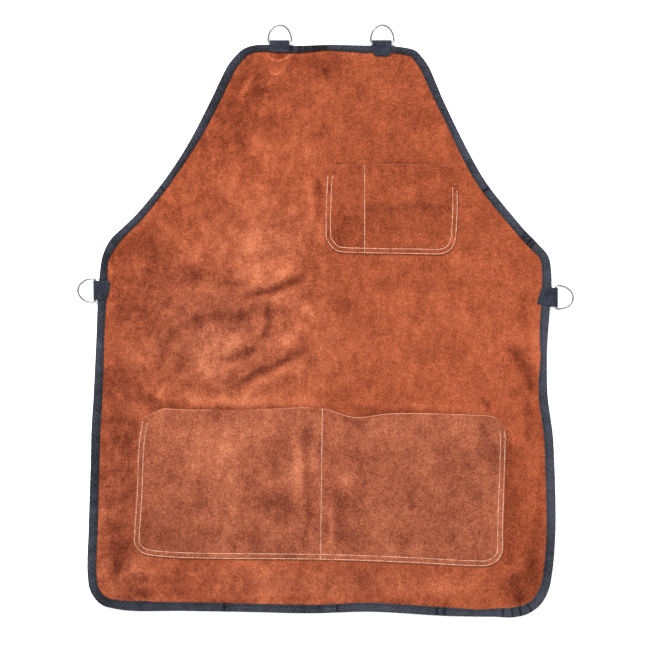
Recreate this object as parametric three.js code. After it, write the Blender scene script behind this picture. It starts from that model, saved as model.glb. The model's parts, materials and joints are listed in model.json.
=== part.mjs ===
// Suede work apron lying on its back with its front face up: a bib-shaped leather panel with a
// taped edge, a chest pocket with a pencil slot, a divided lower pocket, and four webbing tabs
// that each hold a wire D-ring. +X is the viewer's right, +Y runs up the bib and +Z points out of
// the front face. The origin is the middle of the footprint, on the ground.
import * as THREE from "three";

// Driving dimensions, in millimetres
const OVERALL_WIDTH = 651; // over the tips of the side rings
const OVERALL_LENGTH = 777; // from the hem to the tips of the top rings
const LEATHER = 1.6; // body panel
const POCKET_LEATHER = 1.5;
const TAPE = 1.0; // edge binding
const TAPE_LAP = 11.5; // how far the binding laps over each face
const WEBBING = 1.4; // strap tabs
const WEBBING_WIDTH = 25;
const WIRE = 2.4; // ring wire diameter
const GAP = 0.3; // clearance between neighbouring pieces
const SEAM = 8; // sewn margin round a pocket, which lies flat

// The bound outline: a row for each level from the bib down, with the x of its two edges
const APRON_LEVELS = [
  { at: "bib corner", y: 352.5, left: -111.5, right: 119 },
  { at: "bib shoulder", y: 336, left: -126.4, right: 133 },
  { at: "bib side", y: 289, left: -149.8, right: 154 },
  { at: "upper armhole", y: 230, left: -180.5, right: 182.5 },
  { at: "middle armhole", y: 181, left: -213, right: 210.2 },
  { at: "lower armhole", y: 131.5, left: -254.5, right: 249.7 },
  { at: "armhole end", y: 108.5, left: -279.5, right: 269.8 },
  { at: "waist corner", y: 87, left: -291, right: 290.4 },
  { at: "side tabs", y: 61, left: -295.5, right: 295.4 },
  { at: "waist", y: -39, left: -300.8, right: 290 },
  { at: "above pocket", y: -104, left: -304, right: 291.2 },
  { at: "pocket mouth", y: -140, left: -306.4, right: 296.6 },
  { at: "pocket", y: -183, left: -307.4, right: 299.4 },
  { at: "pocket foot", y: -274, left: -310.2, right: 301 },
  { at: "skirt", y: -333, left: -311.4, right: 296.3 },
  { at: "hem turn", y: -359.5, left: -305.6, right: 289.7 },
  { at: "hem corner", y: -372, left: -293.2, right: 281.4 },
];
const APRON_TOP = [
  { at: "top left", x: -96, y: 359.7 },
  { at: "top dip", x: -30, y: 359.7 },
  { at: "top middle", x: 5, y: 361 },
  { at: "top fall", x: 47, y: 360 },
  { at: "top right", x: 90, y: 358.9 },
];
const APRON_HEM = [
  { at: "hem left", x: -261, y: -379.5 },
  { at: "hem rise", x: -190, y: -380.2 },
  { at: "hem middle left", x: -100, y: -381.7 },
  { at: "hem middle", x: -20, y: -383.4 },
  { at: "hem middle right", x: 60, y: -381.4 },
  { at: "hem drop", x: 160, y: -387 },
  { at: "hem right", x: 215, y: -387.8 },
  { at: "hem end", x: 258, y: -386.9 },
];

// Lower pocket outline. Its left corner is cut off and its mouth dips where the right half stands open.
const LOWER_LEVELS = [
  { at: "mouth corner", y: -127.7, left: -238.7, right: 224.5 },
  { at: "side start", y: -135.6, left: -240.9, right: 231.5 },
  { at: "side top", y: -143.4, left: -242.7, right: 235.9 },
  { at: "side upper", y: -164.4, left: -245.5, right: 236.6 },
  { at: "side middle", y: -222, left: -247.7, right: 234.9 },
  { at: "side lower", y: -274.4, left: -251, right: 233.2 },
  { at: "side foot", y: -291.5, left: -251.4, right: 233.2 },
];
const LOWER_MOUTH = [
  { at: "left cut", x: -226.4, y: -121.7 },
  { at: "left shoulder", x: -214.2, y: -115.5 },
  { at: "left mouth", x: -188, y: -116.1 },
  { at: "left half", x: -110, y: -116.5 },
  { at: "divider", x: -3.5, y: -115, divider: true },
  { at: "gaping dip", x: 35, y: -126 },
  { at: "right half", x: 90, y: -121 },
  { at: "right shoulder", x: 195.8, y: -123.4 },
  { at: "right turn", x: 214.6, y: -124.7 },
];
const LOWER_FOOT = [
  { at: "left corner start", x: -245.2, y: -301.8 },
  { at: "left corner", x: -240.1, y: -305.5 },
  { at: "left corner end", x: -231.2, y: -308.1 },
  { at: "left foot", x: -197.2, y: -311.4 },
  { at: "divider", x: -7, y: -314, divider: true },
  { at: "middle right foot", x: 110, y: -318 },
  { at: "right foot", x: 189.3, y: -322.1 },
  { at: "right corner start", x: 214.2, y: -321.6 },
  { at: "right corner", x: 221.3, y: -318.1 },
  { at: "right corner turn", x: 228.3, y: -312.2 },
  { at: "right corner end", x: 232.3, y: -303.9 },
];

// Chest pocket outline, with a pencil slot beside the divider
const CHEST_LEVELS = [
  { at: "mouth corner", y: 190.6, left: 2, right: 171.5 },
  { at: "side top", y: 181.4, left: 1, right: 173.1 },
  { at: "side middle", y: 152.6, left: -0.3, right: 174 },
  { at: "side lower", y: 122.5, left: -0.8, right: 172.8 },
  { at: "side foot", y: 107.3, left: -0.3, right: 171.5 },
];
const CHEST_MOUTH = [
  { at: "left corner", x: 7.7, y: 197.2 },
  { at: "left turn", x: 14.3, y: 201 },
  { at: "left shoulder", x: 21.6, y: 204.1 },
  { at: "divider", x: 51, y: 204.5, divider: true },
  { at: "middle", x: 91, y: 204.7 },
  { at: "right half", x: 130.3, y: 203.7 },
  { at: "right shoulder", x: 158.4, y: 202.3 },
  { at: "right corner", x: 168.1, y: 195.3 },
];
const CHEST_FOOT = [
  { at: "left corner start", x: 3.7, y: 99.8 },
  { at: "left corner", x: 8.6, y: 93.8 },
  { at: "left corner end", x: 13.8, y: 89.9 },
  { at: "left foot", x: 23.7, y: 88 },
  { at: "divider", x: 51, y: 87, divider: true },
  { at: "right foot", x: 130.3, y: 85.7 },
  { at: "right foot end", x: 144.4, y: 85.2 },
  { at: "right corner start", x: 155.2, y: 86.6 },
  { at: "right corner", x: 162.3, y: 90.1 },
  { at: "right corner end", x: 167.8, y: 95.6 },
];

// How far each compartment stands open at its mouth, from left to right
const LOWER_GAPES = [8, 9.5];
const CHEST_GAPES = [7, 7.5];

// Main folds of the leather: centre, direction, length, half-width and height of each ridge
const FOLDS = [
  { at: "upper slant fold", x: -72, y: 52, angle: 13, length: 150, half: 24, height: 6 },
  { at: "middle slant fold", x: -112, y: -34, angle: 14, length: 110, half: 22, height: 4 },
  { at: "lower slant fold", x: -76, y: -50, angle: 24, length: 160, half: 24, height: 6 },
  { at: "left swell", x: -190, y: 10, angle: 62, length: 190, half: 55, height: 3.5 },
  { at: "bib ridge", x: -100, y: 296, angle: 60, length: 110, half: 22, height: 3 },
  { at: "side fold", x: 252, y: -62, angle: -62, length: 110, half: 24, height: 5 },
  { at: "corner fold", x: 238, y: -345, angle: 52, length: 80, half: 20, height: 4 },
  { at: "upper centre crease", x: -4.5, y: -5, angle: 90, length: 190, half: 20, height: 2.5 },
  { at: "lower centre crease", x: -5, y: -349, angle: 90, length: 60, half: 18, height: 2.5 },
];
const FOLD_CLEAR = { from: 14, to: 40 }; // folds fade out between these distances from the edge
const EDGE_RISE = { from: 14, to: 45 }; // the leather drops from the taped edge to the ground
const TAB_RISE = { from: 26, to: 80 }; // and from the webbing under a tab

// Tabs: near point on the outline, outward angle, lap over the front face, slant of its cut end
const TABS = [
  { at: "top_left", x: -60, y: 360, outward: 90, lap: 8.5, slant: 0 },
  { at: "top_right", x: 74, y: 359, outward: 90, lap: 13.5, slant: 0 },
  { at: "side_left", x: -297, y: 39.5, outward: 180, lap: 13, slant: -10 },
  { at: "side_right", x: 292, y: 30.5, outward: 0, lap: 13, slant: -15 },
];
const BACK_LAP = 12; // every tab's lap over the back face

// Ring shape along its wire's middle: a straight bar, small corners and an elliptic bow
const RING_HALF_WIDTH = 15.3;
const RING_CORNER = 3.5;
const RING_REACH = 23.4; // from the bar to the top of the bow
const BAR_JOINT = 0.3; // the wire's ends meet in the middle of the bar

// Mesh density
const APRON_COLUMNS = [28];
const APRON_ROWS = 34;
const LOWER_COLUMNS = [24, 24];
const LOWER_ROWS = 12;
const CHEST_COLUMNS = [9, 15];
const CHEST_ROWS = 8;
const WIRE_SIDES = 8;
const RING_STEPS = 37; // odd, so that one facet faces the bar squarely
const LOOP_SEGMENTS = 6;

const suede = new THREE.MeshStandardMaterial({ color: 0xb05a37, roughness: 0.95 });
const pocketSuede = new THREE.MeshStandardMaterial({ color: 0xa95538, roughness: 0.95 });
const tape = new THREE.MeshStandardMaterial({ color: 0x3a4452, roughness: 0.85 });
const webbing = new THREE.MeshStandardMaterial({ color: 0x2c3442, roughness: 0.8 });
const nickel = new THREE.MeshStandardMaterial({ color: 0xc9cacc, roughness: 0.2, metalness: 1 });

// 1 up to range.from, 0 beyond range.to, and smooth between them
function fade(distance, range) {
  return 1 - THREE.MathUtils.smoothstep(distance, range.from, range.to);
}

// Evenly spaced points on a curve between two of its parameters, the last one left out
function stretch(curve, start, end, steps) {
  const FINE = 200;
  const fine = Array.from({ length: FINE + 1 }, (_, i) => curve.getPoint(start + ((end - start) * i) / FINE));
  const run = [0];
  for (let i = 1; i <= FINE; i++) run.push(run[i - 1] + fine[i].distanceTo(fine[i - 1]));
  const points = [];
  for (let step = 0, i = 0; step < steps; step++) {
    const goal = (run[FINE] * step) / steps;
    while (run[i + 1] < goal) i++;
    points.push(fine[i].clone().lerp(fine[i + 1], (goal - run[i]) / (run[i + 1] - run[i])));
  }
  return points;
}

// The four edges of a sheet, sampled along one smooth closed curve through its table rows.
// The loop runs counterclockwise from the lower left corner, and dividers fall on samples.
function sampleEdges({ levels, top, bottom, columns, rows }) {
  const up = [...levels].reverse();
  const knots = [
    { ...up[0], x: up[0].left, corner: true },
    ...bottom,
    ...up.map((row, i) => ({ ...row, x: row.right, corner: i === 0 || i === up.length - 1 })),
    ...[...top].reverse(),
    ...levels.slice(0, -1).map((row, i) => ({ ...row, x: row.left, corner: i === 0 })),
  ];
  const curve = new THREE.CatmullRomCurve3(
    knots.map(({ x, y }) => new THREE.Vector3(x, y, 0)),
    true,
    "centripetal",
  );
  const stops = knots.flatMap((knot, i) => (knot.corner || knot.divider ? [i] : []));
  const steps = [...columns, rows, ...[...columns].reverse(), rows];
  const loop = stops.flatMap((stop, i) => {
    const next = i + 1 < stops.length ? stops[i + 1] : knots.length;
    return stretch(curve, stop / knots.length, next / knots.length, steps[i]);
  });
  return loop;
}

// The outward direction at each point of a counterclockwise loop
function outwardNormals(loop) {
  return loop.map((_, i) => {
    const along = loop[(i + 1) % loop.length].clone().sub(loop.at(i - 1));
    return new THREE.Vector3(along.y, -along.x, 0).normalize();
  });
}

// Points inside a loop of edges, blended from the four sides
function fillPatch(loop, width, height) {
  const bottom = (i) => loop[i];
  const right = (j) => loop[width + j];
  const top = (i) => loop[2 * width + height - i];
  const left = (j) => loop[(2 * (width + height) - j) % loop.length];
  return (i, j) => {
    const u = i / width;
    const v = j / height;
    const rows = bottom(i).clone().lerp(top(i), v);
    const columns = left(j).clone().lerp(right(j), u);
    const corners = bottom(0).clone().lerp(bottom(width), u).lerp(top(0).clone().lerp(top(width), u), v);
    return rows.add(columns).sub(corners);
  };
}

// A closed sheet: a subdivided box whose two broad faces are laid on the patch's points
function sheetGeometry(width, height, pointAt, undersideAt, thickness) {
  const geometry = new THREE.BoxGeometry(1, 1, 1, width, height, 1);
  const position = geometry.attributes.position;
  for (let k = 0; k < position.count; k++) {
    const i = Math.round((position.getX(k) + 0.5) * width);
    const j = Math.round((position.getY(k) + 0.5) * height);
    const point = pointAt(i, j);
    const z = undersideAt(point, i, j) + (position.getZ(k) > 0 ? thickness : 0);
    position.setXYZ(k, point.x, point.y, z);
  }
  geometry.computeVertexNormals();
  return geometry;
}

function namedMesh(name, geometry, material) {
  const mesh = new THREE.Mesh(geometry, material);
  mesh.name = name;
  return mesh;
}

// Bound edge of the apron, and the cut edge of the leather just inside the tape
const apronWidth = APRON_COLUMNS[0];
const boundEdge = sampleEdges({
  levels: APRON_LEVELS,
  top: APRON_TOP,
  bottom: APRON_HEM,
  columns: APRON_COLUMNS,
  rows: APRON_ROWS,
});
const outward = outwardNormals(boundEdge);
const cutEdge = boundEdge.map((point, i) => point.clone().addScaledVector(outward[i], -(TAPE + GAP)));

// Each tab's foot on the bound edge
function nearestOnEdge({ x, y }) {
  const from = new THREE.Vector3(x, y, 0);
  const nearest = new THREE.Vector3();
  const found = new THREE.Vector3();
  boundEdge.forEach((point, i) => {
    new THREE.Line3(point, boundEdge[(i + 1) % boundEdge.length]).closestPointToPoint(from, true, found);
    if (i === 0 || found.distanceTo(from) < nearest.distanceTo(from)) nearest.copy(found);
  });
  return nearest;
}
const tabFeet = TABS.map(nearestOnEdge);

function distanceToEdge(point) {
  const found = new THREE.Vector3();
  const distances = cutEdge.map((corner, i) => {
    new THREE.Line3(corner, cutEdge[(i + 1) % cutEdge.length]).closestPointToPoint(point, true, found);
    return found.distanceTo(point);
  });
  return Math.min(...distances);
}

// A fold's ridge: rounded across, tapering to nothing at both ends
function foldHeight(fold, point) {
  const angle = THREE.MathUtils.degToRad(fold.angle);
  const dx = point.x - fold.x;
  const dy = point.y - fold.y;
  const along = (dx * Math.cos(angle) + dy * Math.sin(angle)) / (fold.length / 2);
  const across = (dy * Math.cos(angle) - dx * Math.sin(angle)) / fold.half;
  const taper = Math.max(0, 1 - along * along);
  const round = Math.max(0, 1 - across * across);
  return fold.height * taper ** 2 * round ** 2;
}

// Height of the leather's underside: flat on the ground, raised by folds, tape and tabs
function undersideHeight(point) {
  const flat = new THREE.Vector3(point.x, point.y, 0);
  const fromEdge = distanceToEdge(flat);
  const edge = (TAPE + GAP) * fade(fromEdge, EDGE_RISE);
  const tabs = tabFeet.map((foot) => (WEBBING + GAP) * fade(foot.distanceTo(flat), TAB_RISE));
  const folds = FOLDS.map((fold) => foldHeight(fold, flat) * (1 - fade(fromEdge, FOLD_CLEAR)));
  return [...tabs, ...folds].reduce((sum, rise) => sum + rise, edge);
}

function makeBodyPanel() {
  const pointAt = fillPatch(cutEdge, apronWidth, APRON_ROWS);
  const geometry = sheetGeometry(apronWidth, APRON_ROWS, pointAt, undersideHeight, LEATHER);
  return namedMesh("body_panel", geometry, suede);
}

// Folded tape round the edge: a C-shaped section carried along the outline
function makeEdgeBinding() {
  const lap = TAPE_LAP - TAPE - GAP; // measured inwards from the cut edge
  const low = -(TAPE + GAP);
  const high = LEATHER + GAP + TAPE;
  const outer = TAPE + GAP;
  const ROUND = 0.9; // softening of the fold
  const section = [
    { out: outer - ROUND, z: low },
    { out: outer, z: low + ROUND },
    { out: outer, z: high - ROUND },
    { out: outer - ROUND, z: high },
    { out: -lap, z: high },
    { out: -lap, z: high - TAPE },
    { out: GAP, z: high - TAPE },
    { out: GAP, z: low + TAPE },
    { out: -lap, z: low + TAPE },
    { out: -lap, z: low },
  ];
  const geometry = new THREE.TorusGeometry(2, 1, section.length, cutEdge.length);
  const position = geometry.attributes.position;
  const stations = cutEdge.length + 1;
  for (let k = 0; k < position.count; k++) {
    const { out, z } = section[Math.floor(k / stations) % section.length];
    const i = (k % stations) % cutEdge.length;
    const point = cutEdge[i].clone().addScaledVector(outward[i], out);
    const level = undersideHeight(out < 0 ? point : cutEdge[i]);
    position.setXYZ(k, point.x, point.y, level + z);
  }
  geometry.computeVertexNormals();
  return namedMesh("edge_binding", geometry, tape);
}

// A patch pocket, sewn down along its sides, foot and divider and gaping at its mouth
function makePocket(name, table, gapes) {
  const width = table.columns.reduce((sum, count) => sum + count, 0);
  const loop = sampleEdges(table);
  const pointAt = fillPatch(loop, width, table.rows);
  const undersideAt = (point, i, j) => {
    let first = 0;
    let compartment = 0;
    while (i > first + table.columns[compartment]) first += table.columns[compartment++];
    const start = pointAt(first, j).x + SEAM;
    const end = pointAt(first + table.columns[compartment], j).x - SEAM;
    const foot = pointAt(i, 0).y + SEAM;
    const mouth = pointAt(i, table.rows).y;
    const across = THREE.MathUtils.clamp((point.x - start) / (end - start), 0, 1);
    const up = THREE.MathUtils.clamp((point.y - foot) / (mouth - foot), 0, 1);
    const gape = gapes[compartment] * Math.sin(Math.PI * across) ** 0.7 * Math.sin((Math.PI / 2) * up);
    return undersideHeight(point) + LEATHER + GAP + gape;
  };
  const geometry = sheetGeometry(width, table.rows, pointAt, undersideAt, POCKET_LEATHER);
  return namedMesh(name, geometry, pocketSuede);
}

// Half the height of the sandwich of binding and leather that a tab straddles
const halfStack = (LEATHER + 2 * (GAP + TAPE)) / 2;
const barHeight = WEBBING + GAP + halfStack;
const loopInner = WIRE / 2 + GAP;
const loopOuter = loopInner + WEBBING;
const ringTilt = Math.asin((barHeight - WIRE / 2) / RING_REACH); // the bow rests on the ground
const ringTip = RING_REACH * Math.cos(ringTilt) + WIRE / 2;

// From the bound edge out to the ring's bar, so that the rings reach the overall size
function barDistance(tab, foot) {
  const half = tab.outward === 90 ? OVERALL_LENGTH / 2 : OVERALL_WIDTH / 2;
  const edge = tab.outward === 90 ? foot.y : Math.abs(foot.x);
  return half - ringTip - edge;
}

// Webbing strip round the bar, with one end sewn on the front face and one on the back
function makeTab(tab, bar) {
  const inner = halfStack + GAP;
  const outer = inner + WEBBING;
  const neck = 0.5; // where the two layers start to close on the bar
  const shape = new THREE.Shape();
  shape.moveTo(-BACK_LAP, -outer);
  shape.lineTo(neck, -outer);
  shape.absarc(bar, 0, loopOuter, -Math.PI / 2, Math.PI / 2, false);
  shape.lineTo(neck, outer);
  shape.lineTo(-tab.lap, outer);
  shape.lineTo(-tab.lap, inner);
  shape.lineTo(neck, inner);
  shape.absarc(bar, 0, loopInner, Math.PI / 2, -Math.PI / 2, true);
  shape.lineTo(neck, -inner);
  shape.lineTo(-BACK_LAP, -inner);
  const geometry = new THREE.ExtrudeGeometry(shape, {
    depth: WEBBING_WIDTH,
    bevelEnabled: false,
    curveSegments: LOOP_SEGMENTS,
  });
  geometry.translate(0, 0, -WEBBING_WIDTH / 2);
  geometry.rotateX(Math.PI / 2); // the section now stands upright, with its width along -Y
  const position = geometry.attributes.position;
  const skew = Math.tan(THREE.MathUtils.degToRad(tab.slant));
  for (let k = 0; k < position.count; k++) {
    const frontEnd = position.getX(k) < 0 && position.getZ(k) > 0;
    if (frontEnd) position.setX(k, position.getX(k) - skew * position.getY(k));
  }
  return namedMesh(`strap_tab_${tab.at}`, geometry, webbing);
}

// Wire D-ring in the plane of its bar and bow, with the bar along Y at the origin
function makeRing(tab) {
  const barEnd = RING_HALF_WIDTH - RING_CORNER;
  const path = new THREE.Path();
  path.moveTo(0, BAR_JOINT / 2);
  path.lineTo(0, barEnd);
  path.absarc(RING_CORNER, barEnd, RING_CORNER, Math.PI, Math.PI / 2, true);
  path.absellipse(RING_CORNER, 0, RING_REACH - RING_CORNER, RING_HALF_WIDTH, Math.PI / 2, -Math.PI / 2, true);
  path.absarc(RING_CORNER, -barEnd, RING_CORNER, -Math.PI / 2, -Math.PI, true);
  path.lineTo(0, -BAR_JOINT / 2);
  const spine = new THREE.CatmullRomCurve3(
    path.getSpacedPoints(2 * RING_STEPS).map(({ x, y }) => new THREE.Vector3(x, y, 0)),
  );
  const wire = new THREE.Shape();
  for (let side = 0; side < WIRE_SIDES; side++) {
    const angle = (2 * Math.PI * (side + 0.5)) / WIRE_SIDES;
    const corner = [(WIRE / 2) * Math.cos(angle), (WIRE / 2) * Math.sin(angle)];
    if (side === 0) wire.moveTo(...corner);
    else wire.lineTo(...corner);
  }
  const geometry = new THREE.ExtrudeGeometry(wire, { steps: RING_STEPS, extrudePath: spine });
  const ring = namedMesh(`d_ring_${tab.at}`, geometry, nickel);
  ring.rotation.y = ringTilt;
  return ring;
}

const apron = new THREE.Group();
apron.add(makeBodyPanel());
apron.add(makeEdgeBinding());
apron.add(
  makePocket(
    "lower_pocket",
    { levels: LOWER_LEVELS, top: LOWER_MOUTH, bottom: LOWER_FOOT, columns: LOWER_COLUMNS, rows: LOWER_ROWS },
    LOWER_GAPES,
  ),
);
apron.add(
  makePocket(
    "chest_pocket",
    { levels: CHEST_LEVELS, top: CHEST_MOUTH, bottom: CHEST_FOOT, columns: CHEST_COLUMNS, rows: CHEST_ROWS },
    CHEST_GAPES,
  ),
);
TABS.forEach((tab, i) => {
  const bar = barDistance(tab, tabFeet[i]);
  const station = new THREE.Group();
  station.position.set(tabFeet[i].x, tabFeet[i].y, barHeight);
  station.rotation.z = THREE.MathUtils.degToRad(tab.outward);
  station.add(makeTab(tab, bar));
  const ring = makeRing(tab);
  ring.position.x = bar;
  station.add(ring);
  apron.add(station);
});

export default apron;
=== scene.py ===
import json
import math
from collections import defaultdict, namedtuple

import bmesh
import bpy
import numpy as np
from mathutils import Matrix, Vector, kdtree
from mathutils.bvhtree import BVHTree


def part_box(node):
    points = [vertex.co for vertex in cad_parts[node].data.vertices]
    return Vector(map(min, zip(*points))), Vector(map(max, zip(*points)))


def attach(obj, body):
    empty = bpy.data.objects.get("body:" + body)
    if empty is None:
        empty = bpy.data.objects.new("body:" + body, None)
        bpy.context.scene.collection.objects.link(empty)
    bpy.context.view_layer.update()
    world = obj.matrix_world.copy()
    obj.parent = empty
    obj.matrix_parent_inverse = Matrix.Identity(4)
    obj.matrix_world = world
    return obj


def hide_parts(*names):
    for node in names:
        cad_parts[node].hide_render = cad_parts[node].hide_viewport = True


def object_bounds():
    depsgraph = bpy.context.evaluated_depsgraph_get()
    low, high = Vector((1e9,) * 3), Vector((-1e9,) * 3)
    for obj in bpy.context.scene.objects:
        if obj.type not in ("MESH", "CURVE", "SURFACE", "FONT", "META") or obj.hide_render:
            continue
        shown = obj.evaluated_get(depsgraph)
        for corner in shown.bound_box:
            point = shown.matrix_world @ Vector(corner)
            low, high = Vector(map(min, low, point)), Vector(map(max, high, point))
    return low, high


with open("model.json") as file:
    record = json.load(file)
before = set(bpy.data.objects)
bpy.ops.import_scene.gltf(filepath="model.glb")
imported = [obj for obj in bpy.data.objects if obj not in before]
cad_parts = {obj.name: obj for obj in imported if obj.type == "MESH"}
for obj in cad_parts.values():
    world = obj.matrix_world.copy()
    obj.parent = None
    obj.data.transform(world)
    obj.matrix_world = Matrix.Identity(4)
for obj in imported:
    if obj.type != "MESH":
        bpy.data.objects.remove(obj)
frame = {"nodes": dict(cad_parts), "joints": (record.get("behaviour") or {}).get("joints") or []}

cad_low, cad_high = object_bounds()

# Thicknesses, and the clearance between layers that are sewn together
LEATHER = 0.0016
POCKET_LEATHER = 0.0015
TAPE = 0.0010
WEBBING = 0.0014
WIRE = 0.0024
SEAT = 0.00015

# Height of the leather, worked out on a grid
FIELD_CELL = 0.002
FIELD_MARGIN = 0.012
LAST_CELL = 1.001  # points past the grid are read just inside its last cell
CAD_SMOOTHING = 0.007
EDGE_SMOOTHING = 0.012
SMEAR_WIDTHS = 3  # an average reaches this many widths out
LOFT = 0.0012  # the leather never lies quite flat
WAVE_CELL, WAVE_RISE, WAVE_SEED = 0.075, 0.0010, 3
RIPPLE_CELL, RIPPLE_RISE, RIPPLE_SEED = 0.020, 0.00035, 7
WANDER_CELL, WANDER = 0.035, 0.004  # creases stray by this much
CREASE_ENDING = 2.6  # how steeply a crease fades at its ends
PANEL_SEED = 11
SMALLEST = 1e-9  # keeps a division from failing
FAR = 1.0  # further than anything on the apron lies
PLAN_DECIMALS = 6  # corners of the frame that agree to these decimals of a metre are one in plan

# Mottled tone of the suede, stronger on the side that has been folded more
MOTTLE_CELL, MOTTLE_OCTAVES, MOTTLE_GAIN, MOTTLE_SEED = 0.050, 4, 0.88, 21
MOTTLE_SPREAD = 2.0  # makes up for noises of several sizes that partly cancel out
MOTTLE_LEFT, MOTTLE_RIGHT, MOTTLE_TURN = 0.62, 0.34, 0.060
POCKET_MOTTLE = 0.40
# scales the nap tone together with the painted highlight and painted shade of creases and patches
NAP_AND_SHADING_CONTRAST = 1.5
NOISE_REACH, NOISE_MARGIN = 0.6, 3  # noise covers this far from the middle, and spare points

# Mesh density
PANEL_COLUMNS = 192
PANEL_FINE, PANEL_COARSE, PANEL_FINE_REACH, PANEL_FINE_FROM_TOP = 0.0013, 0.0033, 0.022, 0.016
POCKET_FINE, POCKET_COARSE, POCKET_FINE_REACH = 0.0011, 0.0028, 0.010
PANEL_LEANS, POCKET_LEANS = (1.0, 0.5), (1.0, 1.0)  # corners lie furthest along these slopes, at foot and top
TAPE_STATIONS, POCKET_STATIONS, DIVIDER_STATIONS, GRADED_STATIONS = 1650, 1200, 200, 4000
LOOP_FINE = 16
RING_STEPS, RING_SIDES = 132, 20
STITCH_POINTS, STITCH_SIDES = 6, 6
SHARP_EDGE = math.radians(62)

# Edge tape: its lap over the front, which is narrower along the bib's top, and over the back
TAPE_LAP, TAPE_LAP_LESS, TAPE_LAP_UNEVEN, TAPE_BACK_LAP = 0.0107, 0.0026, 0.00035, 0.0100
TAPE_LAP_SHARES = np.array([1.0, 0.965, 0.88, 0.80, 0.70, 0.50, 0.30, 0.12])
TAPE_BACK_SHARES = np.array([0.2, 0.6, 0.97, 1.0])
TAPE_ARC_POINTS, TAPE_SEAM_POINT = 9, 3  # points round the fold, and the one beside the stitches
TAPE_EDGE = 0.45  # share of the thickness that is left at the tape's edges
TAPE_FRONT, TAPE_TOP = 0.3, 0.9  # from here on a direction counts as up, and as the bib's top
TAPE_STITCH_INSET = 0.0019
TAPE_BULGE, TAPE_BULGE_UNEVEN = 0.00035, 0.5
TAPE_PUCKER, TAPE_PUCKER_FLOOR = 0.00030, -0.2
TAPE_JOIN_START, TAPE_JOIN_END = -0.042, -0.003  # the ends overlap here on the bib's top
TAPE_JOIN_RISE, TAPE_JOIN_RAMP = 0.0006, 0.0018
SLOW_CELL, SLOW_SEED, SLOW_TONE = 0.040, 61, 0.5  # slow changes along the tape, then quick ones
QUICK_CELL, QUICK_SEED, QUICK_TONE = 0.009, 67, 0.45
CROWN_POINTS, CROWN_HIGHLIGHT = 2.5, 0.35  # painted highlight along the tape's rounded fold
# a pinch is dented, and painted darker as painted shade in its fold
PINCH_HALF, PINCH_DEPTH, PINCH_SHADE = 0.0016, 0.0005, -1.8
SEAM_SHADE_HALF, SEAM_SHADE_TONE = 0.0012, -0.35

# Tabs and rings
TAB_STEP, TAB_COLUMNS, TAB_LEG_POINTS, TAB_TURN_POINTS = 0.0004, 18, 12, 13
TAB_CROWDING = 1.5  # columns lie closer together towards a tab's sides
TAB_NECK = 1.5  # the legs end this many loop radii short of the bar
TAB_ROUND_POWER = 4  # a sewn end is rounded only near its corners
TAB_SIDE, TAB_SIDE_THICKNESS = 0.97, 0.45  # thinner past this share of the half-width
TAB_ENDING, TAB_ENDING_THICKNESS = 0.012, 0.55  # and within this share of the length from an end
TAB_RIB_PITCH, TAB_RIB, TAB_RIB_WIDTH, TAB_RIB_TONE = 0.0017, 0.00011, 0.010, 0.35
TAB_CLOUD_CELL, TAB_CLOUD_SEED, TAB_CLOUD_TONE = 0.008, 71, 0.5
# A sewn end's rounding, bow, reach and taper, and the strength of a painted highlight along it
TabEnd = namedtuple("TabEnd", "rounding bow reach taper fringe")  # the sewn end on the front
TAB_ENDS = {
    "top_left": TabEnd(0.0012, 0.0000, 0.0012, 0.0000, 2.6),
    "top_right": TabEnd(0.0046, 0.0000, 0.0010, 0.0000, 0.0),
    "side_left": TabEnd(0.0016, 0.0008, 0.0008, 0.0000, 0.0),
    "side_right": TabEnd(0.0006, 0.0000, 0.0026, 0.0036, 0.0),
}
TAB_SEAMS, TAB_SEAM_MARGIN = (0.0025, 0.0065), 2  # rows of stitches from the sewn end, columns beside them
END_HIGHLIGHT_INSET, END_HIGHLIGHT_HALF = 0.0018, 0.0009  # a painted highlight line near a sewn end
RING_CORNER, RING_BUTT = 0.0035, 0.00015  # bend radius, and half the gap where the wire's ends meet
RING_BAR_POINTS, RING_CORNER_POINTS, RING_BOW_POINTS = 6, 12, 60

# Thread, seams and the pockets' edges
THREAD_RADIUS = 0.00054
DARK_THREAD_RADIUS = 0.00040
STITCH_PITCH, STITCH_GAP, STITCH_SLANT = 0.0033, 0.0003, 0.00012
STITCH_ARCH, STITCH_SINK, STITCH_END = 0.6, 0.10, 0.7  # in thread radii
SEAM_DIP, SEAM_DIP_HALF = 0.00035, 0.0016
SEAM_REACH = 0.010  # a pocket lies close to the apron up to this far from its seams
EDGE_BEVEL = 0.0010
# painted light along a pocket's rim, which lifts the shade of its edge; partly a lighter worn edge
SEWN_EDGE_PAINTED_LIGHT = 0.8
EDGE_UNEVEN_CELL, EDGE_UNEVEN = 0.016, 0.22

# The photograph's view: the width of its frame at the apron, and the place of its middle
VIEW_WIDTH = 0.8515
VIEW_X, VIEW_Y = -0.00065, -0.0059
CAMERA_HEIGHT = 3.0


def millimetres(*lengths):
    return [length / 1000 for length in lengths]


def table(kind, lengths, rows):
    """Rows with named columns: a name, so many lengths in millimetres, then plain numbers."""
    return [kind(name, *millimetres(*row[:lengths]), *row[lengths:]) for name, *row in rows]


# Places where the tape is pinched
Pinch = namedtuple("Pinch", "at x y")
PINCHES = table(Pinch, 2, [
    ("upper right armhole", 208.5, 170),
    ("right waist corner", 266.5, 103),
    ("right waist corner, second", 270.5, 99.5),
    ("left armhole", -211, 171),
    ("hem left of the middle", -132, -381),
    ("hem middle", 16, -382),
    ("hem right", 146, -386),
    ("hem right, second", 155, -386),
    ("hem corner", 231, -388),
    ("hem corner, second", 244.5, -388),
    ("lower right corner", 255.5, -386),
    ("lower right corner, second", 269, -381),
])

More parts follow.
